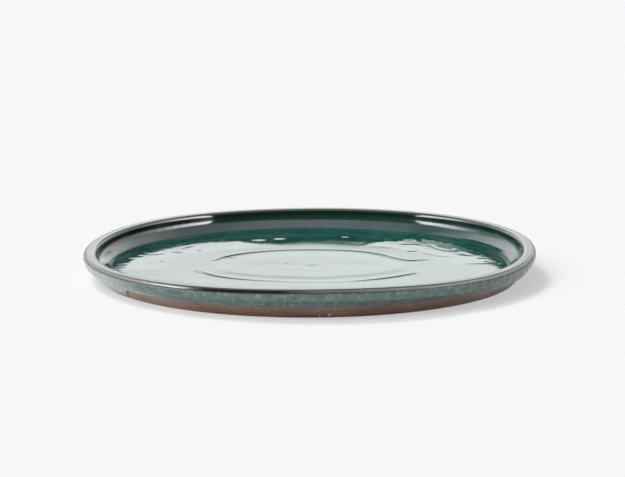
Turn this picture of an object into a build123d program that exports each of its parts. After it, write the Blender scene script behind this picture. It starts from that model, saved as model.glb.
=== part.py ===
from build123d import *
from math import radians, tan
import os

# Plant saucer: one thrown stoneware dish with two fired coats of glaze on it.
# The axis of the dish is Z, the foot stands on Z = 0 and the well opens upwards.
# Every section lies in the XZ plane, with X as the radius, and is turned about Z.
# Lengths are in millimetres. Insets and roundings are those of the clay.

# Overall sizes
saucer_diameter = 240.0  # over the widest part of the glazed wall
saucer_height = 16.7  # from the foot to the crest of the glazed rim
floor_height = 6.0  # the glazed floor of the well, above the foot
glaze_thickness = 0.6  # both coats, measured square to the clay

# Rim
rim_width = 6.0  # from the widest part of the clay to the lip over the well
rim_shoulder_inset = 1.2  # the level crest turns down to the bevel here
rim_edge_drop = 1.3  # foot of the bevel, below the crest
rim_band_height = 2.4  # the upright band below the bevel
rim_lip_rounding = 2.0
rim_shoulder_rounding = 0.8
rim_edge_rounding = 0.8
rim_band_rounding = 2.4

# Outer wall, below the band
crease_height_share = 0.823  # of the height of the wall: a soft crease left by throwing
crease_inset = 1.8  # in from the widest part
crease_rounding = 6.0
turn_height_share = 0.565  # of the height of the wall: it turns in to the foot here
turn_inset = 3.2
turn_rounding = 3.0

# Inner wall of the well
knee_height_share = 0.54  # of the height of the wall: upright above, sloping in below
knee_inset = 0.5  # in from the lip
knee_rounding = 5.0
well_corner_inset = 7.2  # where the sloping part meets the floor, in from the lip
well_corner_rounding = 5.0

# Foot ring and base
foot_inset = 9.9  # the edge of the foot, in from the widest part
foot_edge_rounding = 0.7
foot_land_width = 12.0  # the flat ring that the saucer stands on
foot_land_rounding = 0.8
base_hollow_depth = 1.1  # the trimmed hollow inside that ring
base_hollow_run = 4.0  # width of the slope from the ring up into the hollow
base_hollow_rounding = 3.0

# Where the coats end, as shares of the straight part of a side
inner_coat_end_share = 0.10  # down the rim band
outer_coat_start_share = 0.40  # down the rim band, with bare clay above it
outer_coat_end_share = 0.02  # down the slope between the turn and the foot

# The most of a side that the roundings at its two ends may take between them
rounding_room_share = 0.96

# Levels and radii of the clay under the glaze
clay_radius = saucer_diameter / 2 - glaze_thickness
lip_radius = clay_radius - rim_width
foot_radius = clay_radius - foot_inset
foot_land_radius = foot_radius - foot_land_width
crest_level = saucer_height - glaze_thickness
edge_level = crest_level - rim_edge_drop
band_foot_level = edge_level - rim_band_height
floor_level = floor_height - glaze_thickness
knee_level = floor_level + (crest_level - floor_level) * knee_height_share

# Corners of the clay, as (radius, height)
floor_centre = (0, floor_level)
well_corner = (lip_radius - well_corner_inset, floor_level)
wall_knee = (lip_radius - knee_inset, knee_level)
rim_lip = (lip_radius, crest_level)
rim_shoulder = (clay_radius - rim_shoulder_inset, crest_level)
rim_edge = (clay_radius, edge_level)
rim_band = (clay_radius, band_foot_level)
wall_crease = (clay_radius - crease_inset, band_foot_level * crease_height_share)
wall_turn = (clay_radius - turn_inset, band_foot_level * turn_height_share)
foot_edge = (foot_radius, 0)
foot_land_edge = (foot_land_radius, 0)
hollow_edge = (foot_land_radius - base_hollow_run, base_hollow_depth)
hollow_centre = (0, base_hollow_depth)

# The corners in order, from the middle of the well round to the middle of the base,
# each with its rounding. The two ends lie on the axis and have none.
wanted_roundings = {
    floor_centre: 0,
    well_corner: well_corner_rounding,
    wall_knee: knee_rounding,
    rim_lip: rim_lip_rounding,
    rim_shoulder: rim_shoulder_rounding,
    rim_edge: rim_edge_rounding,
    rim_band: rim_band_rounding,
    wall_crease: crease_rounding,
    wall_turn: turn_rounding,
    foot_edge: foot_edge_rounding,
    foot_land_edge: foot_land_rounding,
    hollow_edge: base_hollow_rounding,
    hollow_centre: 0,
}
clay_corners = list(wanted_roundings)


def reaches(roundings):
    """How far along its two sides each rounding reaches from its corner."""
    found = {corner: 0 for corner in clay_corners}
    for before, corner, after in zip(clay_corners, clay_corners[1:], clay_corners[2:]):
        side_in = Vector(*corner) - Vector(*before)
        side_out = Vector(*after) - Vector(*corner)
        found[corner] = roundings[corner] * tan(radians(side_in.get_angle(side_out)) / 2)
    return found


def fitted(roundings):
    """The roundings, each cut back where a side beside its corner is too short for it."""
    reach = reaches(roundings)
    share_kept = {corner: 1 for corner in clay_corners}
    for start, end in zip(clay_corners, clay_corners[1:]):
        room = (Vector(*end) - Vector(*start)).length * rounding_room_share
        side_share = room / (reach[start] + reach[end])
        share_kept[start] = min(share_kept[start], side_share)
        share_kept[end] = min(share_kept[end], side_share)
    return {corner: roundings[corner] * share_kept[corner] for corner in clay_corners}


rounding_at = fitted(wanted_roundings)
reach_at = reaches(rounding_at)


def on_side(start, end, share):
    """The point at a share of the straight part between two neighbouring corners."""
    along = (Vector(*end) - Vector(*start)).normalized()
    straight_start = Vector(*start) + along * reach_at[start]
    straight_end = Vector(*end) - along * reach_at[end]
    point = straight_start + (straight_end - straight_start) * share
    return (point.X, point.Y)


def rounded_line(points):
    """The line through the points, rounded at every corner between its two ends."""
    with BuildLine(Plane.XZ) as line:
        FilletPolyline(*points, radius=[rounding_at[point] for point in points[1:-1]])
    return line.wire()


def turned(section):
    """The solid that a closed section makes when its face turns about Z."""
    return revolve(make_face(section), axis=Axis.Z, revolution_arc=360)


def glaze_coat(points):
    """A coat of even thickness on the clay, along the points of its section."""
    return turned(offset(rounded_line(points), glaze_thickness, side=Side.LEFT).edges())


def clay_body():
    """The thrown and trimmed dish: well, rim, wall, foot ring and base hollow."""
    with BuildLine(Plane.XZ) as axis_line:
        Line(hollow_centre, floor_centre)
    return turned(rounded_line(clay_corners).edges() + axis_line.edges())


def inner_glaze():
    """The poured coat: floor, inner wall and rim, lapped over the outer edge."""
    covered = clay_corners[: clay_corners.index(rim_band)]
    return glaze_coat([*covered, on_side(rim_edge, rim_band, inner_coat_end_share)])


def outer_glaze():
    """The dipped coat on the outer wall, down to the line above the bare foot."""
    coat_start = on_side(rim_edge, rim_band, outer_coat_start_share)
    coat_end = on_side(wall_turn, foot_edge, outer_coat_end_share)
    return glaze_coat([coat_start, rim_band, wall_crease, wall_turn, coat_end])


nodes = {
    "clay_body": clay_body,
    "inner_glaze": inner_glaze,
    "outer_glaze": outer_glaze,
}

os.makedirs("parts", exist_ok=True)
for name, make in nodes.items():
    piece = make()
    piece.label = name
    export_step(piece, f"parts/{name}.step")
    box = piece.bounding_box()
    print(f"{name}: volume {piece.volume:.1f}, radius {box.max.X:.3f}, height {box.max.Z:.3f}")
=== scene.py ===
import math

import bpy
import numpy as np
from mathutils import Matrix


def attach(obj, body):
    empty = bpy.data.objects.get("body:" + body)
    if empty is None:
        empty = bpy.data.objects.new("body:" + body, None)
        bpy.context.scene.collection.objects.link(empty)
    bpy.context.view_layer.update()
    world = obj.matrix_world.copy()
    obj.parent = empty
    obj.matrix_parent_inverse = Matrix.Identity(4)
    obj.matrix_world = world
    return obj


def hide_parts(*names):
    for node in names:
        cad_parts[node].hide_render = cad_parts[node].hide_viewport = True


# Looks of the plant saucer: a thrown stoneware dish, a glossy green glaze in the well and
# over the rim, and a mottled grey green glaze outside.
#
# Lengths are in millimetres and angles in degrees where nothing else is said. Heights are
# above the surface that the foot stands on. Azimuths run from the front (-Y) to the right
# (+X). A place is a distance along the section of the clay, from the middle of the well
# over the rim to the middle of the base. A table is two lists: the points where a value
# is known, and the values.

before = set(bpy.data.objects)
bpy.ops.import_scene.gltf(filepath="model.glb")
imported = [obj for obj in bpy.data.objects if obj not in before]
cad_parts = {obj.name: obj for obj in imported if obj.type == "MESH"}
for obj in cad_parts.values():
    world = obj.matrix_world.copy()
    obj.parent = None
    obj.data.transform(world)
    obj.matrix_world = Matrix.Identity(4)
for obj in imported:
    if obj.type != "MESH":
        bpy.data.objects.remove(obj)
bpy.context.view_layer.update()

MM = 0.001  # in metres
BODY = "root"
FULL_TURN = 2 * math.pi

# Section of the clay, as (radius, height, rounding) of its corners
CLAY_SECTION = [
    (0.0, 5.4, 0.0),
    (106.2, 5.4, 5.0),
    (112.9, 11.0, 4.2),
    (113.7, 16.1, 1.3),
    (118.6, 16.1, 0.7),
    (119.4, 14.8, 0.7),
    (119.4, 12.4, 2.4),
    (117.6, 10.2, 6.0),
    (116.2, 7.0, 3.0),
    (109.5, 0.0, 0.7),
    (97.5, 0.0, 0.8),
    (93.5, 1.1, 3.0),
    (0.0, 1.1, 0.0),
]
# Numbers of the corners between the two ends
(
    WELL_CORNER, WALL_KNEE, RIM_LIP, RIM_SHOULDER, RIM_EDGE, RIM_BAND,
    WALL_CREASE, WALL_TURN, FOOT_EDGE, LAND_EDGE, HOLLOW_EDGE,
) = range(1, len(CLAY_SECTION) - 1)

GLAZE = 0.6  # thickness of both coats
SUNK = -0.15  # offset of the hidden side of a coat from the face of the clay
TUCKED = -0.05  # offset of the two ends of its outer side

# The rim is slightly warped: its rise and its spread are each a mean and sine waves, as
# (cosine, sine) of one wave round the turn, of two waves and so on
RIM_RISE = -0.95
RISE_WAVES = [(-0.64, 0.65), (0.43, -0.09), (0.75, -0.17), (0.08, 0.06), (-0.01, 0.12)]
RIM_SPREAD = 0.15
SPREAD_WAVES = [(0.05, -0.03), (-0.03, 0.0), (-0.02, 0.02)]
# Heights between which the warp sets in, on the two sides of the wall
WARP_INSIDE = (6.2, 13.0)
WARP_OUTSIDE = (5.6, 10.4)

# Steps of the meshes
TURN_STEPS = 720
AZIMUTH = np.linspace(0, FULL_TURN, TURN_STEPS, endpoint=False)  # radians
FROM_BACK = np.degrees(AZIMUTH) - 180  # plus on the left
FROM_FRONT = (np.degrees(AZIMUTH) + 180) % 360 - 180  # plus on the right
FLOOR_STEP = 0.5
FLOOR_REACH = 104.0  # radius where the flat floor ends and its relief fades out


def smooth(value, low, high):
    """0 below low, 1 above high, and a smooth step between."""
    t = np.clip((value - low) / (high - low), 0, 1)
    return t * t * (3 - 2 * t)


def between(value, start, full, fading, end):
    """0 before start, 1 from full to fading, and 0 after end."""
    return smooth(value, start, full) * (1 - smooth(value, fading, end))


def bump(value, middle, width):
    """A bell of height 1."""
    return np.exp(-(((value - middle) / width) ** 2))


def plan(radius, azimuth):
    """X and Y of a point at a radius and an azimuth in radians."""
    return radius * np.sin(azimuth), -radius * np.cos(azimuth)


def random_waves(rng, counts, sharpness=0.0):
    """Sine waves round the turn, of random heights and phases, added up."""
    return sum(
        rng.normal() * np.cos(k * AZIMUTH + rng.uniform(0, FULL_TURN)) / k**sharpness
        for k in counts
    )


def ring_noise(rng, count, sharpness):
    """Smooth random wave round the turn, between -1 and 1."""
    total = random_waves(rng, range(1, count + 1), sharpness)
    return total / np.abs(total).max()


def ragged():
    """Uneven wave round the turn, between about -1 and 1."""
    counts = range(34, 130, 7)
    usual_height = 1.6 * math.sqrt((counts.stop - counts.start) / counts.step)
    return random_waves(np.random.default_rng(21), counts) / usual_height


class Line:
    """A section line with rounded corners, known at closely spaced points."""

    ARC_POINTS = 12
    SPACING = 0.1
    AVERAGED = 5  # points over which a direction is averaged

    def __init__(self, corners):
        points = [np.array(corner[:2], float) for corner in corners]
        arcs = [
            self.arc(*points[k - 1 : k + 2], corners[k][2]) for k in range(1, len(corners) - 1)
        ]
        rough = [points[0], *(point for arc in arcs for point in arc), points[-1]]
        dense = [rough[0]]
        for p, q in zip(rough, rough[1:]):
            count = max(1, int(np.linalg.norm(q - p) / self.SPACING))
            dense += [p + (q - p) * t for t in np.linspace(0, 1, count + 1)[1:]]
        self.points = np.array(dense)
        steps = np.linalg.norm(np.diff(self.points, axis=0), axis=1)
        self.place = np.concatenate([[0], np.cumsum(steps)])
        self.length = self.place[-1]
        tangent = np.gradient(self.points, self.place, axis=0)
        kernel = np.ones(self.AVERAGED) / self.AVERAGED
        for k in (0, 1):
            padded = np.pad(tangent[:, k], self.AVERAGED // 2, mode="edge")
            tangent[:, k] = np.convolve(padded, kernel, mode="valid")
        tangent /= np.linalg.norm(tangent, axis=1)[:, None]
        self.normal = np.stack([-tangent[:, 1], tangent[:, 0]], axis=1)
        middles = [self.nearest(arc[len(arc) // 2]) for arc in arcs]
        self.corner_place = [0.0, *middles, self.length]

    def arc(self, before, corner, after, rounding):
        """The points of the arc that rounds a corner."""
        a = (before - corner) / np.linalg.norm(before - corner)
        b = (after - corner) / np.linalg.norm(after - corner)
        half = math.acos(np.clip(a @ b, -1, 1)) / 2
        reach = rounding / math.tan(half)
        centre = corner + (a + b) / np.linalg.norm(a + b) * rounding / math.sin(half)
        u, v = corner + a * reach - centre, corner + b * reach - centre
        swing = math.acos(np.clip(u @ v / rounding**2, -1, 1))
        side = math.copysign(1, u[0] * v[1] - u[1] * v[0])
        found = []
        for t in np.linspace(0, swing, self.ARC_POINTS):
            c, s = math.cos(t * side), math.sin(t * side)
            found.append(centre + np.array([u[0] * c - u[1] * s, u[0] * s + u[1] * c]))
        return found

    def nearest(self, point):
        """The place on the line that is nearest to a point."""
        return self.place[np.argmin(np.linalg.norm(self.points - point, axis=1))]

    def at(self, place, offset=0.0):
        """Radius and height at places on the line, moved out of the clay by offset."""
        r, z, out_r, out_z = (
            np.interp(place, self.place, values) for values in (*self.points.T, *self.normal.T)
        )
        return r + out_r * offset, z + out_z * offset


LINE = Line(CLAY_SECTION)
AT = LINE.corner_place


def warp_waves(mean, pairs):
    """A mean plus sine waves round the turn."""
    total = np.full_like(AZIMUTH, mean)
    for k, (cosine, sine) in enumerate(pairs, 1):
        total = total + cosine * np.cos(k * AZIMUTH) + sine * np.sin(k * AZIMUTH)
    return total


def warped(radius, height, zone):
    """Points of the round section, moved to where the uneven rim has them."""
    share = smooth(height, *zone)
    rise = warp_waves(RIM_RISE, RISE_WAVES)
    spread = warp_waves(RIM_SPREAD, SPREAD_WAVES)
    return radius + spread * share, height + rise * share


# ---------------- floor relief
# The shallow hollow in the middle of the floor is oval, and its edge wanders: each wave
# is (height, waves round the turn, phase in radians)
OVAL_HALF_WIDTH = 60.5
OVAL_HALF_DEPTH = 45.0
OVAL_WAVES = [(0.8, 5, 1.0), (0.5, 9, 0.0)]
# Its depth, and how far inside the edge its slope starts and ends
BACK_HOLLOW = (0.13, 0, 24)
FRONT_HOLLOW = (0.19, 5, 17)
# Outside the oval the floor falls again, at the back and on the left. Tables by the angle
# from the back: how deep, how far outside the edge the slope starts, and how wide it is
FALL_DEPTH = (
    [-90, -60, -20, 0, 20, 45, 75, 110],
    [0.0, 0.015, 0.015, 0.015, 0.04, 0.15, 0.19, 0.0],
)
FALL_START = ([0, 25, 60], [-1, 3, 8])
FALL_WIDTH = ([0, 60], [11, 16])
# The whole floor rises a little towards the wall, between two radii
OUTER_RISE = 0.16
OUTER_RISE_RADII = (58, 100)

# Finger marks in the floor: half width, and (x, y, depth) along the stroke
BACK_STROKE = 1.3, [
    (-52.5, 14.5, 0.0), (-50.3, 18.1, 0.20), (-43.4, 27.4, 0.46), (-34.4, 35.9, 0.34),
    (-18.4, 43.4, 0.26), (0.2, 45.6, 0.25), (18.8, 43.4, 0.28), (29.5, 38.8, 0.34),
    (38.5, 30.7, 0.38), (43.9, 22.6, 0.38), (48.1, 17.3, 0.36), (52.4, 13.0, 0.32),
    (57.0, 13.4, 0.24), (61.0, 16.0, 0.16), (66.0, 17.6, 0.0),
]
FRONT_STROKE = 1.1, [
    (-62.0, -9.0, 0.0), (-59.9, -12.6, 0.22), (-55.7, -20.9, 0.46), (-47.7, -31.4, 0.40),
    (-31.7, -40.8, 0.22), (-5.1, -46.2, 0.08), (21.5, -44.9, 0.08), (34.8, -39.1, 0.28),
    (45.5, -32.1, 0.38), (54.5, -23.7, 0.24), (58.0, -19.0, 0.0),
]
VEIN_WIDTH = 1.4
VEINS = [
    [(-75.5, 41.0, 0.0), (-72.0, 39.0, 0.16), (-67.4, 36.5, 0.0)],
    [(-88.7, 29.8, 0.0), (-82.0, 32.0, 0.07), (-75.9, 35.4, 0.0)],
    [(51.5, 41.6, 0.0), (55.0, 41.8, 0.14), (60.0, 41.2, 0.0)],
    [
        (57.7, 36.5, 0.0), (62.0, 34.5, 0.05), (66.2, 31.5, 0.05), (67.8, 27.6, 0.06),
        (73.7, 23.7, 0.06), (79.0, 22.9, 0.03), (82.7, 23.7, 0.0),
    ],
    [
        (66.0, 49.5, 0.0), (71.5, 43.2, 0.10), (75.3, 39.5, 0.16), (79.0, 41.3, 0.14),
        (81.5, 47.5, 0.04),
    ],
    [(79.7, 31.6, 0.0), (83.1, 28.7, 0.18), (88.0, 23.7, 0.0)],
    [(89.0, 19.0, 0.0), (92.5, 18.6, 0.15), (97.0, 18.0, 0.05)],
    [(92.5, 12.4, 0.0), (96.0, 8.5, 0.15), (99.5, 4.2, 0.08)],
    [(49.2, 60.5, 0.04), (54.0, 60.0, 0.12), (59.6, 60.3, 0.04)],
    [(64.1, 57.2, 0.05), (67.8, 48.8, 0.08), (71.5, 43.2, 0.0)],
    [(59.6, 47.1, 0.0), (61.8, 40.4, 0.07), (65.6, 29.6, 0.0)],
]
STROKES = [BACK_STROKE, FRONT_STROKE, *((VEIN_WIDTH, vein) for vein in VEINS)]

# Edge of the raised glaze along the wall: angles from the back on its side, radii, heights
LEFT_RIDGE = (
    [14, 22, 29, 40, 52, 64, 76, 88, 96],
    [76, 80, 83, 85, 89, 93, 95, 97, 98],
    [0.0, 0.20, 0.60, 0.75, 0.72, 0.62, 0.55, 0.40, 0.0],
)
RIGHT_RIDGE = (
    [25, 30, 36, 50, 62, 74, 88],
    [84, 90, 94, 95, 95, 96, 98],
    [0.0, 0.45, 0.90, 0.80, 0.60, 0.55, 0.25],
)
# How far each edge wanders in and out, by the same angle
LEFT_WANDER = ([20, 42, 55, 80], [0.4, 0.7, 2.2, 2.2])
RIGHT_WANDER = ([30, 45, 60, 80], [0.8, 1.2, 1.8, 1.8])
RIDGE_RISE = 27  # width of the gentle slope up to the edge
RIDGE_RISE_POWER = 1.4
RIDGE_PEAK = 1.06  # where the slope stops rising, as a share of its width
RIDGE_DROP = (-0.5, 6)  # the steep far side, from the edge

# Glaze pooled in the corner on the right: height by the angle from the back
POOL = ([26, 40, 56, 68, 84, 96], [0.0, 0.30, 0.55, 0.60, 0.45, 0.0])

# Where the gloss is lost and painted shade darkens the colour: in the corner past the raised
# glaze, and under the lip. Angles are from the back, and the rest is from the ridge's edge,
# the corner and the lip.
DULL_AND_SHADE_CORNER_ANGLES = (30, 62, 96, 106)
DULL_AND_SHADE_PAST_RIDGE = (1.0, 4.0)
DULL_AND_SHADE_CORNER_END = (0.5, 2.0)
DULL_AND_SHADE_LIP_ANGLES = (42, 56, 78, 88)
DULL_AND_SHADE_LIP_PLACES = (-3.5, -2.7, -1.3, -0.9)

# Random low swellings of the glaze: how many, the ranges of their radius, azimuth, length
# round the turn and width, and the most that they rise or sink
RANDOM_SWELLINGS = [
    # where the glaze ran off the wall, on the left and the right at the back
    (22, (80, 96), (202, 246), (3, 8), (1.1, 2.4), 0.06),
    (30, (74, 100), (112, 150), (2.5, 7), (1.2, 2.4), 0.06),
    (26, (82, 95), (130, 150), (2, 5), (0.9, 1.6), 0.05),
    # all over: shallow waves left by the brush and the fingers
    (46, (10, 100), (0, 360), (14, 34), (5, 12), 0.05),
    (240, (5, 103), (0, 360), (3, 9), (1.8, 4.5), 0.007),
]
# The small swellings that catch the light at the back, as (x, y, length, height)
LIT_SWELLING_WIDTH = 3.0
LIT_SWELLINGS = [
    (-27.7, 75.5, 4.6, 0.22), (-16.8, 79.6, 4.2, 0.24), (19.6, 83.8, 4.6, 0.28),
    (43.9, 66.5, 4.2, 0.20), (55.5, 70.5, 3.6, 0.22),
]
# Small pits, as (x, y, size, depth)
PIT_WIDTH_SHARE = 0.8
PITS = [
    (-12.6, 8.8, 1.5, 0.10), (1.8, 4.3, 3.0, 0.12), (-79.4, 13.7, 1.2, 0.10),
    (59.4, 4.8, 1.4, 0.10), (82.7, 29.3, 2.6, 0.10), (-59.9, 44.6, 1.4, 0.10),
    (-41.0, 25.0, 3.2, 0.12),
]
SWELLING_REACH = 2.6  # a swelling ends at so many lengths from its middle


def rounded_stroke(points):
    """The points of a stroke with its corners cut three times over."""
    line = np.array(points, float)
    for _ in range(3):
        first = line[:-1] * 0.75 + line[1:] * 0.25
        last = line[:-1] * 0.25 + line[1:] * 0.75
        inner = np.stack([first, last], axis=1).reshape(-1, line.shape[1])
        line = np.vstack([line[:1], inner, line[-1:]])
    return line


def stroke_depth(width, points, x, y):
    """Depth of a groove of the given half width along a stroke."""
    line = rounded_stroke(points)
    nearest, depth = np.full_like(x, np.inf), np.zeros_like(x)
    for (ax, ay, deep_a), (bx, by, deep_b) in zip(line, line[1:]):
        dx, dy = bx - ax, by - ay
        along = np.clip(((x - ax) * dx + (y - ay) * dy) / (dx**2 + dy**2), 0, 1)
        away = np.hypot(x - ax - along * dx, y - ay - along * dy)
        closer = away < nearest
        nearest = np.where(closer, away, nearest)
        depth = np.where(closer, deep_a + along * (deep_b - deep_a), depth)
    return depth * bump(nearest, 0, width)


def ridges():
    """For each side: the angle from the back, and the raised glaze's middle radius,
    ragged edge and height."""
    for side, (angles, radii, heights), wander in (
        (FROM_BACK, LEFT_RIDGE, LEFT_WANDER),
        (-FROM_BACK, RIGHT_RIDGE, RIGHT_WANDER),
    ):
        middle = np.interp(side, angles, radii)
        edge = middle + np.interp(side, *wander) * ragged()
        yield side, middle, edge, np.interp(side, angles, heights, left=0, right=0)


def raised_edge(radius):
    """Thick glaze that ran off the wall: a gentle rise outwards and a steep far side."""
    total = np.zeros_like(radius)
    for _, middle, edge, height in ridges():
        rise = np.clip((radius - middle + RIDGE_RISE) / RIDGE_RISE, 0, RIDGE_PEAK)
        drop = smooth(radius, edge + RIDGE_DROP[0], edge + RIDGE_DROP[1])
        total += height * (rise**RIDGE_RISE_POWER * (1 - drop))
    return total


def pooled(place):
    """Extra glaze in the corner between the floor and the wall on the right."""
    return np.interp(-FROM_BACK, *POOL, left=0, right=0) * bump(place, AT[WELL_CORNER] + 0.6, 2.4)


def dulled(radius, place):
    """Share by which the gloss is lost; it also sets the painted shade in the colour."""
    corner_start, corner_end = DULL_AND_SHADE_CORNER_END
    before_wall = 1 - smooth(place - AT[WELL_CORNER], corner_start, corner_end)
    under_lip = between(place - AT[RIM_LIP], *DULL_AND_SHADE_LIP_PLACES)
    total = np.zeros_like(radius)
    for side, _, edge, _ in ridges():
        corner = smooth(radius - edge, *DULL_AND_SHADE_PAST_RIDGE) * before_wall
        total += corner * between(side, *DULL_AND_SHADE_CORNER_ANGLES)
        total += under_lip * between(side, *DULL_AND_SHADE_LIP_ANGLES)
    return total


def swellings():
    """All the swellings and pits, as (x, y, length round the turn, width, height)."""
    rng = np.random.default_rng(7)
    found = []
    for count, radii, azimuths, lengths, widths, height in RANDOM_SWELLINGS:
        for _ in range(count):
            azimuth = math.radians(rng.uniform(*azimuths))
            x, y = plan(rng.uniform(*radii), azimuth)
            length, width = rng.uniform(*lengths), rng.uniform(*widths)
            found.append((x, y, length, width, rng.uniform(-height, height)))
    for x, y, length, height in LIT_SWELLINGS:
        found.append((x, y, length, LIT_SWELLING_WIDTH, height))
    for x, y, size, depth in PITS:
        found.append((x, y, size, size * PIT_WIDTH_SHARE, -depth))
    return found


def ripples(x, y):
    """Height of the swellings and pits at points of the floor."""
    total = np.zeros_like(x)
    for mid_x, mid_y, length, width, height in swellings():
        reach = SWELLING_REACH * length
        near = (np.abs(x - mid_x) < reach) & (np.abs(y - mid_y) < reach)
        dx, dy = x[near] - mid_x, y[near] - mid_y
        azimuth = math.atan2(mid_x, -mid_y)
        along = dx * math.cos(azimuth) + dy * math.sin(azimuth)
        across = dx * math.sin(azimuth) - dy * math.cos(azimuth)
        total[near] += height * np.exp(-((along / length) ** 2) - (across / width) ** 2)
    return total


def floor_relief(radius):
    """Height of the glazed floor over its flat level."""
    x, y = plan(radius, AZIMUTH)
    unit_x, unit_y = plan(1, AZIMUTH)
    oval = 1 / np.hypot(unit_x / OVAL_HALF_WIDTH, unit_y / OVAL_HALF_DEPTH)
    for wave_height, count, phase in OVAL_WAVES:
        oval = oval + wave_height * np.sin(count * AZIMUTH + phase)
    in_front = smooth(np.cos(AZIMUTH), -0.2, 0.5)
    height = OUTER_RISE * smooth(radius, *OUTER_RISE_RADII)
    for (depth, start, end), share in ((BACK_HOLLOW, 1 - in_front), (FRONT_HOLLOW, in_front)):
        height = height - depth * smooth(oval - radius, start, end) * share
    fall, start, width = (
        np.interp(FROM_BACK, *table) for table in (FALL_DEPTH, FALL_START, FALL_WIDTH)
    )
    height = height - fall * smooth(radius - oval - start, 0, width)
    grooves = sum(stroke_depth(half_width, points, x, y) for half_width, points in STROKES)
    return height - grooves + raised_edge(radius) + ripples(x, y)


# ---------------- mesh making
# Shape of the coats, along the section: how the inner one's end wanders and the width over
# which it is rounded off, its thinning at the shoulder and its streaks at the knee as
# (height, width)
INNER_END_WANDER = 0.12
INNER_END_WIDTH = 0.3
SHOULDER_THINNING = (0.10, 0.35)
KNEE_STREAKS = (0.045, 1.6)
# Where the outer coat starts below the bevel, the widths over which its start and its end
# are rounded off, how uneven it is, and the bead near its end as (share, distance, width)
OUTER_START = 0.12
OUTER_START_WIDTH = 0.25
OUTER_END_WIDTH = 0.7
OUTER_UNEVENNESS = 0.05
OUTER_BEAD = (0.25, 1.0, 0.8)
# Marks of trimming in the clay
SLOPE_MARK_HEIGHT = 0.04
HOLLOW_MARK_HEIGHT = 0.05


def rows(start, *stretches):
    """Places of the rows of a mesh, repeated for every step of the turn.

    Each stretch is the place that it runs to and its number of rows. Only the last one
    has a row at its very end."""
    parts = []
    for number, (end, count) in enumerate(stretches, 1):
        parts.append(np.linspace(start, end, count, endpoint=number == len(stretches)))
        start = end
    return np.concatenate(parts)[:, None] + 0 * AZIMUTH


def ring_faces(number, joined=False):
    """Four-sided faces between neighbouring rings of point numbers. In a joined section
    the last ring is the first one's neighbour too."""
    first, second = number[:-1], number[1:]
    if joined:
        first, second = number, np.roll(number, -1, axis=0)
    corners = [first, second, np.roll(second, -1, axis=1), np.roll(first, -1, axis=1)]
    return np.stack(corners, axis=-1).reshape(-1, 4).tolist()


def mesh_object(name, vertices, faces, attributes):
    """A new object in the scene, in metres. attributes hold a value for each point."""
    mesh = bpy.data.meshes.new(name)
    mesh.from_pydata(vertices.tolist(), [], faces)
    for key, values in attributes.items():
        layer = mesh.attributes.new(key, "FLOAT", "POINT")
        layer.data.foreach_set("value", values.astype(np.float32))
    made = bpy.data.objects.new(name, mesh)
    bpy.context.scene.collection.objects.link(made)
    return made


def ringed_piece(name, points, ends, **attributes):
    """A closed mesh from rings of points. ends are the two points that close it past its
    first and last rings. Without them the section closes on itself."""
    number = np.arange(points[..., 0].size).reshape(points.shape[:2])
    vertices = points.reshape(-1, 3)
    faces = ring_faces(number, joined=not ends)
    values = {key: value.reshape(-1) for key, value in attributes.items()}
    for ring, end in zip((number[0], number[-1][::-1]), ends):
        pole = np.full_like(ring, len(vertices))
        faces += np.stack([ring, np.roll(ring, -1), pole], axis=-1).tolist()
        vertices = np.vstack([vertices, end])
        values = {key: np.append(value, value[ring[0]]) for key, value in values.items()}
    piece = mesh_object(name, vertices * MM, faces, values)
    piece.data.shade_smooth()
    return piece


def turned_piece(name, section, joined, **attributes):
    """A piece turned round the axis, from the radius and height of each row and step."""
    radius, height = section
    points = np.stack([*plan(radius, AZIMUTH), height], axis=-1)
    ends = [] if joined else [(0, 0, height[row].mean()) for row in (0, -1)]
    return ringed_piece(name, points, ends, **attributes)


def rounded_end(distance, width):
    """Thickness share of a coat near its end, which is rounded off."""
    t = np.clip(distance / width, 0, 1)
    return np.sqrt(1 - (1 - t) ** 2)


def inner_coat():
    """The glaze in the well and over the rim, down to the lower edge of the bevel."""
    rng = np.random.default_rng(11)
    wander = INNER_END_WANDER * ring_noise(rng, 40, 0.6)
    streak_height, streak_width = KNEE_STREAKS
    streaks = streak_height * ring_noise(rng, 150, 0.0)
    # rows are close on the floor for its relief, and closest at the lip and the bevel
    place = np.vstack([
        np.arange(FLOOR_STEP, FLOOR_REACH, FLOOR_STEP)[:, None] + 0 * AZIMUTH,
        rows(
            FLOOR_REACH, (AT[WALL_KNEE] + 2, 26), (AT[RIM_LIP] - 2.2, 8),
            (AT[RIM_LIP] + 2.2, 16), (AT[RIM_SHOULDER] - 0.6, 8), (AT[RIM_EDGE], 26),
        ),
    ])
    place = place + wander * smooth(place, AT[RIM_SHOULDER], AT[RIM_EDGE])
    end = AT[RIM_EDGE] + wander
    thickness = GLAZE * rounded_end(end - place, INNER_END_WIDTH)
    # thinner where the glaze draws back from the upper edge of the bevel
    thinning, thin_width = SHOULDER_THINNING
    thickness -= thinning * bump(place, AT[RIM_SHOULDER], thin_width) * (end > place)
    thickness = np.where(end - place < 1e-6, TUCKED, thickness)
    radius, height = LINE.at(place, thickness)
    on_floor = 1 - smooth(radius, FLOOR_REACH - 6, FLOOR_REACH + 2)
    height = height + floor_relief(np.minimum(radius, FLOOR_REACH + 2)) * on_floor
    height = height + pooled(place)
    radius = radius + streaks * bump(place, AT[WALL_KNEE], streak_width)
    radius, height = warped(radius, height, WARP_INSIDE)
    back_place = rows(AT[RIM_EDGE] - 0.3, (3.0, 44))
    back = warped(*LINE.at(back_place, SUNK), WARP_INSIDE)
    return turned_piece(
        "inner_glaze_coat",
        np.concatenate([(radius, height), back], axis=1),
        False,
        section_place=np.vstack([place, back_place]) - AT[RIM_LIP],
        dull=np.vstack([dulled(radius, place), 0 * back_place]),
    )


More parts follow.
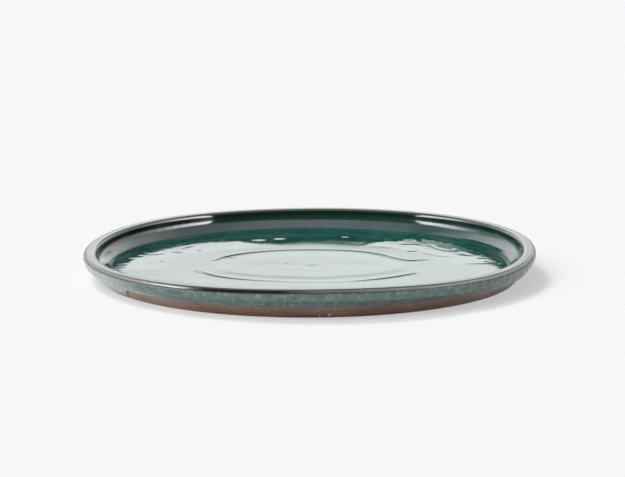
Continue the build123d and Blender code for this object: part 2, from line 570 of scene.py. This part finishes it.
def glaze_line_drop():
    """How far along the section past the turn of the wall the outer coat runs."""
    drop = 0.9 + 0.25 * ring_noise(np.random.default_rng(5), 24, 0.7)
    # on the left the glaze has run nearly to the foot
    drop = drop + 5.6 * between(-FROM_FRONT, 54.6, 58.0, 96, 104)
    drop = drop + 1.6 * between(FROM_FRONT, 50, 56, 80, 90)
    return drop + 1.8 * bump(np.abs(FROM_FRONT), 150, 9) + 1.2 * bump(FROM_FRONT, 118, 6)


def outer_coat():
    """The glaze on the outside of the wall, from the bevel to the line above the foot."""
    rng = np.random.default_rng(13)
    start = AT[RIM_EDGE] + OUTER_START
    end = AT[WALL_TURN] + glaze_line_drop()
    share = rows(0, (0.06, 6), (0.9, 34), (1, 12))
    place = start + share * (end - start)
    near_end = rounded_end(end - place, OUTER_END_WIDTH)
    near_start = rounded_end(place - start, OUTER_START_WIDTH)
    bead_share, bead_distance, bead_width = OUTER_BEAD
    bead = 1 + bead_share * bump(end - place, bead_distance, bead_width)
    thickness = GLAZE * near_end * near_start * bead
    thickness += OUTER_UNEVENNESS * ring_noise(rng, 60, 0.3) * near_end * near_start
    thickness = np.where((share <= 0) | (share >= 1), TUCKED, thickness)
    front = warped(*LINE.at(place, thickness), WARP_OUTSIDE)
    back_place = start + rows(0.99, (0.01, 22)) * (end - start)
    back = warped(*LINE.at(back_place, SUNK), WARP_OUTSIDE)
    place = np.vstack([place, back_place])
    return turned_piece(
        "outer_glaze_coat",
        np.concatenate([front, back], axis=1),
        True,
        section_place=place - AT[RIM_EDGE],
        above_line=end - place,
    )


def clay_dish():
    """The whole dish of clay, with the marks of trimming where it is bare."""
    # rows are few where a coat hides the clay
    place = rows(
        3.0, (AT[WELL_CORNER] - 3, 5), (AT[RIM_LIP] - 1.5, 11), (AT[RIM_BAND], 21),
        (AT[WALL_TURN] - 1, 8), (AT[FOOT_EDGE] + 1.2, 40), (AT[HOLLOW_EDGE] + 3, 9),
        (LINE.length - 1.0, 43),
    )
    on_slope = between(
        place, AT[WALL_TURN] - 1, AT[WALL_TURN] + 1, AT[FOOT_EDGE] - 0.8, AT[FOOT_EDGE] + 0.2
    )
    in_hollow = smooth(place, AT[HOLLOW_EDGE] + 1, AT[HOLLOW_EDGE] + 8)
    marks = SLOPE_MARK_HEIGHT * np.sin(place * 4.2 + 0.5 * np.sin(AZIMUTH)) * on_slope
    marks = marks + HOLLOW_MARK_HEIGHT * np.sin(place * 1.3 + AZIMUTH) * in_hollow
    round_section = LINE.at(place, marks)
    outside = (place > AT[RIM_SHOULDER]) & (place < AT[FOOT_EDGE] + 20)
    two_ways = (warped(*round_section, zone) for zone in (WARP_OUTSIDE, WARP_INSIDE))
    radius, height = (np.where(outside, *pair) for pair in zip(*two_ways))
    section = radius, np.maximum(height, 0)
    return turned_piece("clay_dish", section, False, section_place=place - AT[WALL_TURN])


def crumb(name, azimuth, level, size, seed):
    """A grain of grit stuck to the slope of the foot, at an azimuth and a height."""
    rng = np.random.default_rng(seed)
    slope = (LINE.place > AT[WALL_TURN]) & (LINE.place < AT[FOOT_EDGE])
    place = np.interp(-level, -LINE.points[slope, 1], LINE.place[slope])
    radius, height = LINE.at(place, size * 0.15)
    centre = np.array([*plan(radius, math.radians(azimuth)), height])
    rings, columns = 4, 14
    points = np.zeros((rings, columns, 3))
    for ring in range(rings):
        polar = math.pi * (ring + 1) / (rings + 1)
        for column in range(columns):
            t = FULL_TURN * column / columns
            stretch = np.array([1.15 * math.cos(t), 0.8 * math.sin(t), 0.8])
            stretch *= [math.sin(polar), math.sin(polar), math.cos(polar)]
            points[ring, column] = centre + size * 0.5 * rng.uniform(0.82, 1.12) * stretch
    return ringed_piece(name, points, [centre + [0, 0, size * 0.5], centre - [0, 0, size * 0.42]])


# ---------------- materials
# Colours as linear red, green and blue. Where there are two, the surface varies from the
# first to the second.
FLOOR_DEEP = (0.006, 0.050, 0.045), (0.004, 0.070, 0.052)
FLOOR_BRIGHT = (0.012, 0.090, 0.080), (0.010, 0.135, 0.105)
PALE_FLOOR_SPECK = (0.016, 0.15, 0.10)
DARK_FLOOR_SPECK = (0.004, 0.040, 0.034)
# painted shade: darkens the colour in the corner past the raised glaze and under the lip
PAINTED_CORNER_SHADE = (0.003, 0.020, 0.017)
SLOPING_WALL = (0.012, 0.050, 0.054), (0.026, 0.070, 0.078)
WALL_FOOT_LINE = (0.03, 0.12, 0.095)
KNEE_TEAL = (0.022, 0.075, 0.062)
UPPER_WALL = (0.014, 0.056, 0.043)
UNDER_LIP = (0.006, 0.026, 0.016)
PALE_LIP = (0.040, 0.080, 0.055)
RIM_CREST = (0.020, 0.050, 0.042)
# painted reflection: the bevel's colours stand for what it reflects on each side
BEVEL_LEFT_PAINTED_REFLECTION = (0.17, 0.16, 0.155)
BEVEL_BLACK_PAINTED_REFLECTION = (0.004, 0.005, 0.005)
BEVEL_FRONT_PAINTED_REFLECTION = (0.155, 0.185, 0.175)
BEVEL_RIGHT_PAINTED_REFLECTION = (0.24, 0.26, 0.24)
BROKEN_BROWN = (0.085, 0.052, 0.042)

OUTSIDE_UPPER = (0.095, 0.150, 0.138), (0.18, 0.28, 0.25)
OUTSIDE_LOWER = (0.095, 0.125, 0.122), (0.16, 0.205, 0.20)
OUTSIDE_SPECK = (0.34, 0.50, 0.44)
OUTSIDE_RUN = (0.05, 0.08, 0.075)
CREASE_SHADE = (0.045, 0.055, 0.055)
# painted sheen: paler glaze on the left, where light falls and bright surroundings are reflected
OUTSIDE_PAINTED_SHEEN = (0.50, 0.54, 0.52)
# painted shade: darker glaze low down on the right
OUTSIDE_PAINTED_SHADE = (0.05, 0.07, 0.066)
LOW_EDGE_BROWN = (0.09, 0.06, 0.045)
TOP_EDGE_BROWN = (0.10, 0.065, 0.05)

CLAY = (0.305, 0.178, 0.14), (0.385, 0.235, 0.188)
# painted light: paler clay on the left and the right sides, where more light falls
CLAY_LEFT_PAINTED_LIGHT = (0.50, 0.37, 0.33)
CLAY_RIGHT_PAINTED_LIGHT = (0.46, 0.40, 0.37)
CLAY_LINE = (0.15, 0.085, 0.065)
DARK_GRIT = (0.09, 0.05, 0.04)
PALE_GRIT = (0.36, 0.25, 0.2)
CRUMB = (0.75, 0.70, 0.65), (0.92, 0.88, 0.84)

FULL_GLOSS = 0.5  # specular level of the inner glaze
LEAST_GLOSS = 0.015  # and where it is dull
BUMP_DISTANCE = 0.0002  # metres


class Nodes:
    """A short way to write a node tree. A value is a number, a colour or a socket.

    The scales of noises are waves in a metre, and positions are in metres."""

    def __init__(self, tree):
        self.tree = tree
        tree.nodes.clear()

    def add(self, kind, values=None, **settings):
        """A new node."""
        node = self.tree.nodes.new(kind)
        for key, value in settings.items():
            setattr(node, key, value)
        for key, value in (values or {}).items():
            socket = node.inputs[key]
            if isinstance(value, bpy.types.NodeSocket):
                self.tree.links.new(value, socket)
            else:
                socket.default_value = (*value, 1) if socket.type == "RGBA" else value
        return node

    def math(self, operation, a, b=0.0, clamp=False):
        node = self.add("ShaderNodeMath", {0: a, 1: b}, operation=operation, use_clamp=clamp)
        return node.outputs[0]

    def plus(self, a, b, clamp=False):
        return self.math("ADD", a, b, clamp)

    def times(self, a, b, clamp=False):
        return self.math("MULTIPLY", a, b, clamp)

    def one_less(self, value, clamp=False):
        """1 with the value taken away."""
        return self.math("SUBTRACT", 1.0, value, clamp)

    def swing(self, noise, size):
        """The noise moved to both sides of 0 and multiplied by a size."""
        return self.times(self.math("SUBTRACT", noise, 0.5), size)

    def band(self, value, middle, width):
        """1 at the middle, falling to 0 at the width from it."""
        away = self.math("ABSOLUTE", self.math("SUBTRACT", value, middle))
        return self.one_less(self.math("DIVIDE", away, width), clamp=True)

    def ranged(self, value, start, end, first=0.0, last=1.0, kind="LINEAR"):
        """first up to start, last from end on, and even change between."""
        limits = {"From Min": start, "From Max": end, "To Min": first, "To Max": last}
        node = self.add("ShaderNodeMapRange", {"Value": value, **limits}, interpolation_type=kind)
        return node.outputs[0]

    def rising(self, value, start, end, last=1.0):
        """0 up to start, last from end on, and a smooth step between."""
        return self.ranged(value, start, end, 0.0, last, "SMOOTHSTEP")

    def ramp(self, value, *stops):
        """Grey between two stops, each a position and how pale it is."""
        node = self.add("ShaderNodeValToRGB", {"Fac": value})
        for element, (position, grey) in zip(node.color_ramp.elements, stops):
            element.position = position
            element.color = (grey, grey, grey, 1)
        return node.outputs["Color"]

    def mix(self, factor, a, b):
        """Colour a with b over it."""
        values = {0: factor, 6: a, 7: b}  # 6 and 7 are the node's inputs for colours
        return self.add("ShaderNodeMix", values, data_type="RGBA").outputs[2]

    def noise(self, vector, scale, detail, roughness):
        values = {"Vector": vector, "Scale": scale, "Detail": detail, "Roughness": roughness}
        return self.add("ShaderNodeTexNoise", values).outputs["Fac"]

    def attribute(self, name):
        return self.add("ShaderNodeAttribute", attribute_name=name).outputs["Fac"]

    def position(self):
        """Place on the object."""
        return self.add("ShaderNodeTexCoord").outputs["Object"]

    def split(self, vector):
        return self.add("ShaderNodeSeparateXYZ", {0: vector}).outputs

    def stretched(self, vector, scale):
        return self.add("ShaderNodeMapping", {"Vector": vector, "Scale": scale}).outputs[0]

    def bumped(self, height, strength):
        values = {"Height": height, "Strength": strength, "Distance": BUMP_DISTANCE}
        return self.add("ShaderNodeBump", values).outputs[0]

    def seen_directly(self):
        """1 for what the camera sees, also in gloss or through glass, and 0 for light."""
        path = self.add("ShaderNodeLightPath").outputs
        rays = self.plus(path["Is Camera Ray"], path["Is Glossy Ray"])
        return self.plus(rays, path["Is Transmission Ray"], clamp=True)

    def finish(self, kind, values):
        """The shader that the material ends in."""
        shader = self.add(kind, values).outputs[0]
        self.add("ShaderNodeOutputMaterial", {"Surface": shader})


def material(name):
    made = bpy.data.materials.new(name)
    made.use_nodes = True
    return made, Nodes(made.node_tree)


def well_colour(n, where, x, place, fringe, broad, clouds, dull):
    """Colour of the inner glaze from the floor up to the rim."""
    patches = n.noise(where, 22.0, 3.0, 0.55)
    specks = n.noise(where, 420.0, 2.0, 0.5)
    # streaks: the bands below are pulled up and down the wall by noises round the turn
    upper = n.plus(place, n.plus(n.swing(fringe, 4.2), n.swing(broad, 3.0)))
    lower = n.plus(place, n.swing(fringe, 2.2))
    knee = AT[WALL_KNEE] - AT[RIM_LIP]
    corner = AT[WELL_CORNER] - AT[RIM_LIP]
    # floor: deep emerald, darker and bluer on the left
    side = n.rising(x, -0.09, 0.05)
    deep = n.mix(side, *FLOOR_DEEP)
    colour = n.mix(n.ramp(clouds, (0.36, 0.0), (0.62, 1.0)), deep, n.mix(side, *FLOOR_BRIGHT))
    colour = n.mix(n.ramp(patches, (0.40, 0.5), (0.60, 0.0)), colour, deep)
    colour = n.mix(n.ramp(specks, (0.54, 0.0), (0.66, 0.6)), colour, PALE_FLOOR_SPECK)
    colour = n.mix(n.ramp(specks, (0.34, 0.6), (0.44, 0.0)), colour, DARK_FLOOR_SPECK)
    # painted shade: the colour is darkened where the glaze is dull, in the corner past the raised
    # glaze and under the lip
    colour = n.mix(n.times(dull, 0.35), colour, PAINTED_CORNER_SHADE)
    # the sloping wall is greyer, with a pale line at its foot
    wall = n.mix(n.ramp(clouds, (0.35, 0.0), (0.65, 1.0)), *SLOPING_WALL)
    colour = n.mix(n.rising(lower, corner - 0.6, corner + 0.4), colour, wall)
    line = n.times(n.band(lower, corner + 0.4, 0.8), 0.8)
    colour = n.mix(line, colour, WALL_FOOT_LINE)
    # streaked teal at the knee, nearly black green under the lip
    colour = n.mix(n.rising(upper, knee - 0.9, knee + 0.1), colour, KNEE_TEAL)
    colour = n.mix(n.rising(upper, knee + 0.6, knee + 2.0), colour, UPPER_WALL)
    return n.mix(n.rising(place, knee + 2.0, knee + 3.2), colour, UNDER_LIP)


def rim_colour(n, where, front, place, fringe, on_bevel, colour):
    """The colour with the rim's over it: lighter on the lip, a painted reflection on the bevel, and
    brown along the bevel.
    """
    uneven = n.noise(where, 160.0, 3.0, 0.6)
    shoulder = AT[RIM_SHOULDER] - AT[RIM_LIP]
    edge = AT[RIM_EDGE] - AT[RIM_LIP]
    colour = n.mix(n.rising(place, -0.9, 0.1), colour, PALE_LIP)
    colour = n.mix(n.rising(place, 0.8, 2.0), colour, RIM_CREST)
    # painted reflection: the bevel is pale on the left, black left of the front and grey green on
    # the right, after what it reflects on each side
    frayed = n.plus(front, n.swing(fringe, 0.12))
    bevel = n.mix(n.rising(frayed, -0.62, -0.44), BEVEL_LEFT_PAINTED_REFLECTION, BEVEL_BLACK_PAINTED_REFLECTION)
    bevel = n.mix(n.rising(frayed, -0.16, 0.06), bevel, BEVEL_FRONT_PAINTED_REFLECTION)
    bevel = n.mix(n.rising(frayed, 0.55, 1.2), bevel, BEVEL_RIGHT_PAINTED_REFLECTION)
    colour = n.mix(on_bevel, colour, bevel)
    # the brown is faint at the far left above, and from the front to the right below
    strength = n.plus(0.12, n.times(n.rising(front, -1.0, -0.4), 0.88))
    high_brown = n.times(n.ramp(uneven, (0.3, 0.2), (0.6, 0.9)), strength)
    high_brown = n.times(n.band(place, shoulder - 0.05, 0.35), high_brown)
    colour = n.mix(high_brown, colour, BROKEN_BROWN)
    strength = n.one_less(n.times(n.rising(front, -0.3, 0.2), 0.8))
    low_brown = n.times(n.ramp(uneven, (0.35, 0.0), (0.65, 0.6)), strength)
    low_brown = n.times(n.band(place, edge - 0.1, 0.35), low_brown)
    return n.mix(low_brown, colour, BROKEN_BROWN)


def inner_glaze_material():
    made, n = material("glossy_green_glaze")
    where = n.position()
    place = n.attribute("section_place")
    dull = n.attribute("dull")
    x, y, _ = n.split(where)
    flat = n.add("ShaderNodeCombineXYZ", {"X": x, "Y": y, "Z": 0.0}).outputs[0]
    turn = n.add("ShaderNodeVectorMath", {0: flat}, operation="NORMALIZE").outputs[0]
    front = n.math("ARCTAN2", x, n.times(y, -1.0))  # azimuth in radians
    clouds = n.noise(where, 75.0, 4.0, 0.6)
    fringe = n.noise(turn, 90.0, 3.0, 0.65)
    broad = n.noise(turn, 9.0, 2.0, 0.5)
    shoulder = AT[RIM_SHOULDER] - AT[RIM_LIP]
    on_bevel = n.rising(place, shoulder, shoulder + 0.3)
    colour = well_colour(n, where, x, place, fringe, broad, clouds, dull)
    colour = rim_colour(n, where, front, place, fringe, on_bevel, colour)
    # glossy, less so past the lip, and half matte at the two sides of the bevel
    pale_bevel = n.plus(n.rising(front, 0.1, 0.3), n.one_less(n.rising(front, -1.0, -0.8)))
    matte = n.times(n.times(on_bevel, pale_bevel, clamp=True), 0.38)
    rough = n.plus(n.ranged(clouds, 0.3, 0.7, 0.05, 0.085), matte)
    rough = n.plus(rough, n.times(n.rising(place, 0.3, 1.5), 0.09))
    kept = n.math("POWER", n.one_less(dull, clamp=True), 3.0)
    gloss = n.plus(n.times(kept, FULL_GLOSS - LEAST_GLOSS), LEAST_GLOSS)
    n.finish("ShaderNodeBsdfPrincipled", {
        "Base Color": colour,
        "Roughness": rough,
        "IOR": 1.55,
        "Normal": n.bumped(n.noise(where, 900.0, 2.0, 0.5), 0.05),
        "Specular IOR Level": gloss,
    })
    return made


def outer_glaze_material():
    made, n = material("mottled_grey_green_glaze")
    where = n.position()
    x = n.split(where)["X"]
    place = n.attribute("section_place")
    above = n.attribute("above_line")
    mottle = n.noise(where, 320.0, 5.0, 0.65)
    specks = n.noise(where, 900.0, 2.0, 0.5)
    runs = n.noise(n.stretched(where, (1.0, 1.0, 0.25)), 330.0, 3.0, 0.6)
    clouds = n.noise(where, 30.0, 3.0, 0.5)
    patches = n.ramp(mottle, (0.35, 0.0), (0.68, 1.0))
    crease = AT[WALL_CREASE] - AT[RIM_EDGE]
    down = n.rising(place, crease - 0.9, crease + 0.5)
    colour = n.mix(down, n.mix(patches, *OUTSIDE_UPPER), n.mix(patches, *OUTSIDE_LOWER))
    colour = n.mix(n.ramp(specks, (0.62, 0.0), (0.72, 0.7)), colour, OUTSIDE_SPECK)
    colour = n.mix(n.ramp(runs, (0.55, 0.0), (0.75, 0.35)), colour, OUTSIDE_RUN)
    line = n.times(n.band(place, crease, 0.7), n.ramp(clouds, (0.35, 0.2), (0.6, 0.8)))
    colour = n.mix(line, colour, CREASE_SHADE)
    # painted sheen: paler on the far left and low down on the left, where light falls and bright
    # surroundings are reflected; painted shade: darker low down on the right
    colour = n.mix(n.rising(x, -0.082, -0.112, 0.75), colour, OUTSIDE_PAINTED_SHEEN)
    low_left = n.times(n.rising(x, -0.066, -0.093, 0.52), down)
    colour = n.mix(low_left, colour, OUTSIDE_PAINTED_SHEEN)
    low_right = n.times(n.rising(x, -0.01, 0.07, 0.62), down)
    colour = n.mix(low_right, colour, OUTSIDE_PAINTED_SHADE)
    # thin and brown along its two ends
    low_edge = n.ranged(above, 0.0, 0.45, 0.75, 0.0)
    colour = n.mix(low_edge, colour, LOW_EDGE_BROWN)
    strength = n.ranged(x, -0.04, 0.02, 0.35, 0.08)
    top_edge = n.times(n.ranged(place, 0.15, 0.5, 1.0, 0.0), strength)
    n.finish("ShaderNodeBsdfPrincipled", {
        "Base Color": n.mix(top_edge, colour, TOP_EDGE_BROWN),
        "Roughness": n.ranged(mottle, 0.3, 0.7, 0.18, 0.32),
        "IOR": 1.5,
        "Normal": n.bumped(mottle, 0.25),
    })
    return made


def clay_material():
    made, n = material("red_brown_clay")
    where = n.position()
    x = n.split(where)["X"]
    clouds = n.noise(where, 35.0, 4.0, 0.6)
    grit = n.noise(where, 1500.0, 3.0, 0.7)
    lines = n.noise(n.stretched(where, (1.0, 1.0, 14.0)), 60.0, 3.0, 0.6)
    colour = n.mix(n.ramp(clouds, (0.35, 0.0), (0.65, 1.0)), *CLAY)
    # painted light: the clay is paler towards the left and the right, where more light falls on it
    colour = n.mix(n.rising(x, -0.040, -0.090, 0.8), colour, CLAY_LEFT_PAINTED_LIGHT)
    colour = n.mix(n.rising(x, 0.070, 0.095, 0.75), colour, CLAY_RIGHT_PAINTED_LIGHT)
    colour = n.mix(n.ramp(lines, (0.45, 0.0), (0.7, 0.5)), colour, CLAY_LINE)
    colour = n.mix(n.ramp(grit, (0.60, 0.0), (0.72, 0.5)), colour, DARK_GRIT)
    colour = n.mix(n.ramp(grit, (0.28, 0.4), (0.36, 0.0)), colour, PALE_GRIT)
    n.finish("ShaderNodeBsdfPrincipled", {
        "Base Color": colour,
        "Roughness": 0.85,
        "Normal": n.bumped(grit, 0.4),
    })
    return made


def crumb_material():
    made, n = material("pale_crumb")
    colour = n.mix(n.noise(n.position(), 3000.0, 2.0, 0.5), *CRUMB)
    n.finish("ShaderNodeBsdfPrincipled", {"Base Color": colour, "Roughness": 0.8})
    return made


# ---------------- studio
# Distances of the studio are in metres
CIRCLE_STEPS = 96  # of the floor and the backdrop
FLOOR_RADIUS = 6.0
FLOOR_LEVEL = -0.00005
FLOOR_COLOUR = (0.93, 0.93, 0.93)
FLOOR_EVEN_SHARE = 0.50  # of the floor's look is even, and the rest is lit by the lamps
BACKDROP_RADIUS = 4.0
BACKDROP_LEVELS = (-0.01, 0.6)
BACKDROP_GLOW = 0.94
WORLD_STRENGTH = 0.23
# Soft lamps at infinity: name, azimuth and elevation that the light comes from, width,
# and the share of a white floor's light that it gives
LAMPS = [
    ("key", -132, 56, 20, 0.43),
    ("fill", 0, 85, 70, 0.07),
    ("front_fill", -60, 43, 40, 0.28),
]

# Light in the reflections. Angles are from the back where nothing else is said.
DOME_RADIUS = 3.5
DOME_TURN_STEP = 0.5
DOME_RISE_STEP = 1.0
DIM_GLOW = 0.10
# Pale sweep behind the object: glow by elevation, the share lost away from its middle,
# the elevation of its top on both sides, and where it ends at the sides
SWEEP_GLOW = ([0, 5, 8, 9.5, 10.5, 11.5, 12.5, 14], [0.5, 0.65, 0.95, 1.24, 1.50, 1.76, 1.90, 1.95])
SWEEP_LOSS = ([4, 9, 16, 24], [0, 0.24, 0.24, 0.16])
SWEEP_TOP_RIGHT = ([0, 4, 8, 12, 20, 28], [22, 18, 16, 16, 18, 20])
SWEEP_TOP_LEFT = ([0, 8, 14, 20], [22, 24, 22, 19])
SWEEP_END = (32, 39)
# Pale low band, with the elevations and the angles where it fades
LOW_BAND_GLOW = 0.9
LOW_BAND_TOP = (3, 8)
LOW_BAND_END = (80, 100)
# Side panels, pale from the edge of the sweep to the softboxes and meeting overhead:
# whether on the right, the share lost far round to the side, the elevation where that loss
# starts to fade, and (elevation, angle where it begins, angle where it ends, glow)
PANELS = [
    (True, 0.12, 30, [
        (0, 28, 90, 0.5), (5, 28, 90, 1.0), (10, 20, 90, 1.35), (14, 5, 90, 1.5),
        (16, 7.5, 90, 1.6), (18, 9.5, 90, 1.6), (20, 12, 90, 1.6), (27, 15.5, 90, 1.6),
        (36, 20, 90, 1.3), (44, 24, 90, 1.3), (52, 30, 100, 0.95), (60, 38, 130, 0.95),
        (66, 36, 150, 1.1), (72, 30, 180, 1.35), (76, 15, 180, 1.4), (80, -10, 180, 1.5),
    ]),
    (False, 0.5, 50, [
        (0, 28, 80, 0.5), (5, 28, 80, 1.1), (10, 24, 80, 1.7), (14, 16, 80, 1.8),
        (20, 16.5, 80, 1.95), (25, 19.5, 80, 2.05), (37, 28, 80, 2.1), (48, 33, 80, 1.3),
        (56, 38, 90, 0.6), (64, 36, 130, 1.1), (72, 30, 180, 1.3), (76, 15, 180, 1.4),
        (80, -10, 180, 1.5),
    ]),
]
PANEL_LOSS_START = (42, 50)
PANEL_LOSS_TOP = 58
PANEL_FRONT_FADE = (-32, -6)  # tilt from upright, towards the camera where it is minus
# Softboxes on the right (1) and the left (-1), brightest along their near edges: azimuth
# of the edge by elevation, glow by elevation, and the share left past the edge
SOFTBOXES = [
    (
        1,
        ([5, 17, 31, 50], [56, 57.5, 61.5, 77]),
        ([9, 20, 45, 50], [13.0, 16.0, 14.0, 8.0]),
        ([0, 6, 22, 32, 42, 52, 62], [1, 0.9, 0.52, 0.28, 0.12, 0.05, 0]),
    ),
    (
        -1,
        ([5, 18, 22, 45], [62, 63, 65, 80]),
        ([9, 22, 38, 43, 48], [9.0, 14.5, 14.0, 10.0, 6.0]),
        ([0, 10, 18, 26, 34, 42, 52], [1, 0.95, 0.72, 0.52, 0.30, 0.12, 0]),
    ),
]
SOFTBOX_ELEVATIONS = (5, 12, 46, 52)

# Camera, fitted to the photograph: metres, degrees and pixels
CAMERA_DISTANCE = 2.4
CAMERA_ELEVATION = 11.0
CAMERA_ROLL = -0.002  # radians
FOCAL_LENGTH = 4510.0
IMAGE_WIDTH = 625
IMAGE_HEIGHT = 477
FOOT_CENTRE = (309.6, 276.6)  # where the middle of the foot lies in the picture
SENSOR_WIDTH = 36.0
FAR_CLIP = 50.0


def circle(radius, level):
    """The points of a level circle."""
    turn = np.linspace(0, FULL_TURN, CIRCLE_STEPS, endpoint=False)
    return np.stack([radius * np.cos(turn), radius * np.sin(turn), 0 * turn + level], axis=-1)


def stage_piece(name, vertices, faces, shader_material, **attributes):
    """A part of the studio, which isn't part of the object."""
    piece = mesh_object(name, vertices, faces, attributes)
    piece.data.materials.append(shader_material)
    return piece


def floor_material():
    made, n = material("pale_floor")
    n.finish("ShaderNodeMixShader", {
        0: n.times(n.seen_directly(), FLOOR_EVEN_SHARE),
        1: n.add("ShaderNodeBsdfDiffuse", {"Color": FLOOR_COLOUR}).outputs[0],
        2: n.add("ShaderNodeEmission", {"Color": FLOOR_COLOUR}).outputs[0],
    })
    return made


def backdrop_material():
    """An even glow that gives no light."""
    made, n = material("backdrop_glow")
    strength = n.times(n.seen_directly(), BACKDROP_GLOW)
    n.finish("ShaderNodeEmission", {"Strength": strength})
    return made


def sky_glow(azimuth, elevation):
    """How bright the studio is in a direction, in reflections. The azimuth is 0 on the
    camera's side, and plus to the right."""
    behind = 180 - np.abs(azimuth)
    glow = np.full_like(azimuth, DIM_GLOW)
    level = np.interp(elevation, *SWEEP_GLOW) * (1 - np.interp(behind, *SWEEP_LOSS))
    tops = (np.interp(behind, *table) for table in (SWEEP_TOP_RIGHT, SWEEP_TOP_LEFT))
    over_top = elevation - np.where(azimuth > 0, *tops)
    glow += level * (1 - smooth(behind, *SWEEP_END)) * (1 - smooth(over_top, -2.5, 2.5))
    low_band = (1 - smooth(elevation, *LOW_BAND_TOP)) * (1 - smooth(behind, *LOW_BAND_END))
    glow = np.maximum(glow, LOW_BAND_GLOW * low_band)
    rise = np.radians(elevation)
    tilt = np.degrees(np.arctan2(plan(np.cos(rise), np.radians(azimuth))[1], np.sin(rise)))
    for on_right, loss, loss_fade, table in PANELS:
        rises, begins, ends, levels = zip(*table)
        panel = smooth(behind - np.interp(elevation, rises, begins), -1.5, 1.5)
        panel *= 1 - smooth(behind - np.interp(elevation, rises, ends), -15, 15)
        panel *= smooth(tilt, *PANEL_FRONT_FADE) * np.interp(elevation, rises, levels)
        below = 1 - smooth(elevation, loss_fade, PANEL_LOSS_TOP)
        panel *= 1 - loss * smooth(behind, *PANEL_LOSS_START) * below
        glow = np.where((azimuth > 0) == on_right, np.maximum(glow, panel), glow)
    for side, edge, level, left in SOFTBOXES:
        past = side * azimuth - np.interp(elevation, *edge)
        inside = smooth(past, -0.5, 0.5) * between(elevation, *SOFTBOX_ELEVATIONS)
        glow += np.interp(elevation, *level) * inside * np.interp(past, *left)
    return glow


def reflected_dome():
    """The light of the studio, on a dome that is seen in reflections and nowhere else."""
    azimuth, elevation = np.meshgrid(
        np.arange(-180, 180, DOME_TURN_STEP), np.arange(0, 90, DOME_RISE_STEP)
    )
    number = np.arange(azimuth.size).reshape(azimuth.shape)
    rise = np.radians(elevation)
    points = np.stack([*plan(np.cos(rise), np.radians(azimuth)), np.sin(rise)], axis=-1)
    made, n = material("dome_glow")
    n.finish("ShaderNodeEmission", {"Strength": n.attribute("glow")})
    dome = stage_piece(
        "dome",
        points.reshape(-1, 3) * DOME_RADIUS,
        ring_faces(number) + [number[-1].tolist()],
        made,
        glow=sky_glow(azimuth, elevation).reshape(-1),
    )
    dome.visible_camera = False
    dome.visible_diffuse = False
    dome.visible_transmission = False
    dome.visible_shadow = False


def sun(name, azimuth, elevation, width, share):
    """A soft lamp that isn't seen in reflections."""
    data = bpy.data.lights.new(name, "SUN")
    data.angle = math.radians(width)
    data.energy = math.pi * share / math.sin(math.radians(elevation))
    lamp = bpy.data.objects.new(name, data)
    lamp.rotation_euler = (math.radians(90 - elevation), 0, math.radians(azimuth))
    lamp.visible_glossy = False
    bpy.context.scene.collection.objects.link(lamp)


def studio():
    """The floor, the backdrop, the lamps and the light in the reflections."""
    floor = circle(FLOOR_RADIUS, FLOOR_LEVEL)
    stage_piece("floor", floor, [list(range(CIRCLE_STEPS))], floor_material())
    rings = np.concatenate([circle(BACKDROP_RADIUS, level) for level in BACKDROP_LEVELS])
    number = np.arange(len(rings)).reshape(-1, CIRCLE_STEPS)
    backdrop = stage_piece("backdrop", rings, ring_faces(number), backdrop_material())
    backdrop.visible_shadow = False
    world = bpy.data.worlds.new("studio")
    bpy.context.scene.world = world
    world.use_nodes = True
    n = Nodes(world.node_tree)
    white = {"Color": (1, 1, 1), "Strength": WORLD_STRENGTH}
    n.add("ShaderNodeOutputWorld", {"Surface": n.add("ShaderNodeBackground", white).outputs[0]})
    for lamp in LAMPS:
        sun(*lamp)
    reflected_dome()


def camera():
    """The camera, turned so that the middle of the foot lies where the photograph has it."""
    data = bpy.data.cameras.new("camera")
    data.sensor_width = SENSOR_WIDTH
    data.lens = FOCAL_LENGTH * SENSOR_WIDTH / IMAGE_WIDTH
    data.clip_end = FAR_CLIP
    x, y = FOOT_CENTRE
    elevation = math.radians(CAMERA_ELEVATION)
    down = elevation - math.atan((y - IMAGE_HEIGHT / 2) / FOCAL_LENGTH)
    turn = -math.atan((IMAGE_WIDTH / 2 - x) / FOCAL_LENGTH)
    rotation = Matrix.Rotation(turn, 4, "Z") @ Matrix.Rotation(math.pi / 2 - down, 4, "X")
    rotation = rotation @ Matrix.Rotation(CAMERA_ROLL, 4, "Z")
    place = (0, -CAMERA_DISTANCE * math.cos(elevation), CAMERA_DISTANCE * math.sin(elevation))
    seen = bpy.data.objects.new("camera", data)
    seen.matrix_world = Matrix.Translation(place) @ rotation
    bpy.context.scene.collection.objects.link(seen)
    bpy.context.scene.camera = seen


def dress(piece, made, slot, *nodes):
    """Gives a piece its material and its body, and hides the nodes that it stands for. The slot is
    not used.
    """
    piece.data.materials.append(made)
    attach(piece, BODY)
    if nodes:
        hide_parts(*nodes)


dress(inner_coat(), inner_glaze_material(), "inner_glaze", "inner_glaze")
dress(outer_coat(), outer_glaze_material(), "outer_glaze", "outer_glaze")
dress(clay_dish(), clay_material(), "clay", "clay_body")
pale = crumb_material()
dress(crumb("crumb_large", 5.1, 1.9, 1.5, 3), pale, "clay")
dress(crumb("crumb_small", 2.6, 1.6, 0.8, 4), pale, "clay")
studio()
camera()
bpy.context.scene.view_settings.view_transform = "Standard"
